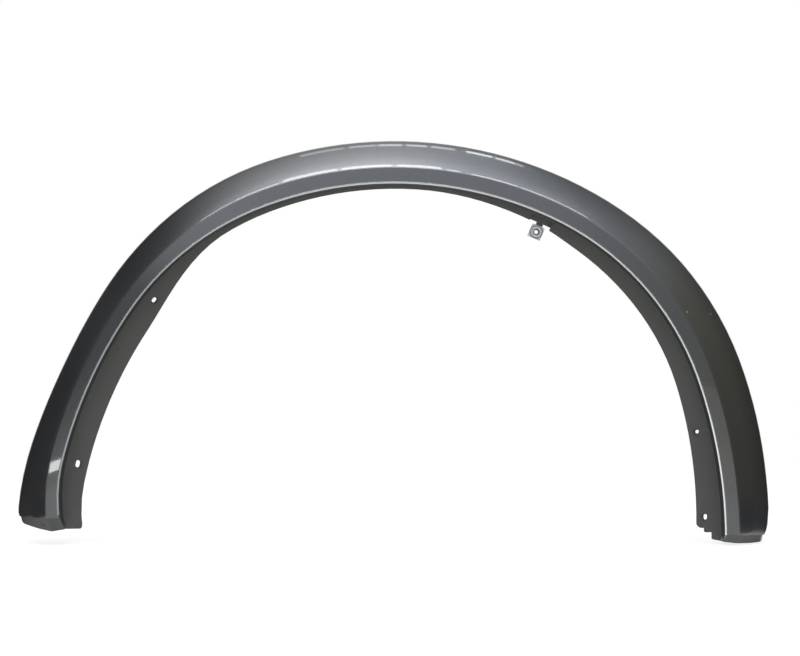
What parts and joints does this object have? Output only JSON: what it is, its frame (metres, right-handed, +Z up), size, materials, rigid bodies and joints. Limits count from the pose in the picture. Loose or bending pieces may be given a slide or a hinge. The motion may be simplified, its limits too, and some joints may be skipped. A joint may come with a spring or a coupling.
{
  "type": "wheel arch trim",
  "caption": "Curved trim for a car's wheel opening: creased two-band face, rounded lip, screw flange with slots and a notch, closed feet and a folded clip nut.",
  "frame": {"origin": "centre of the trim's bounding box", "axes": "as fitted on the car's side: +X along the car, +Z up, the painted face looks at -Y and the edges that meet the car's body lie at +Y"},
  "size_m": [0.9768, 0.0496, 0.523],
  "materials": {
    "arch_moulding": "moulded plastic, face painted metallic dark grey under clear lacquer, flange fine-grained and unpainted",
    "clip_nut": "zinc-plated spring steel, satin"
  },
  "bodies": {
    "root": {"arch_moulding": "arch_moulding", "clip_nut": "clip_nut"}
  },
  "joints": []
}
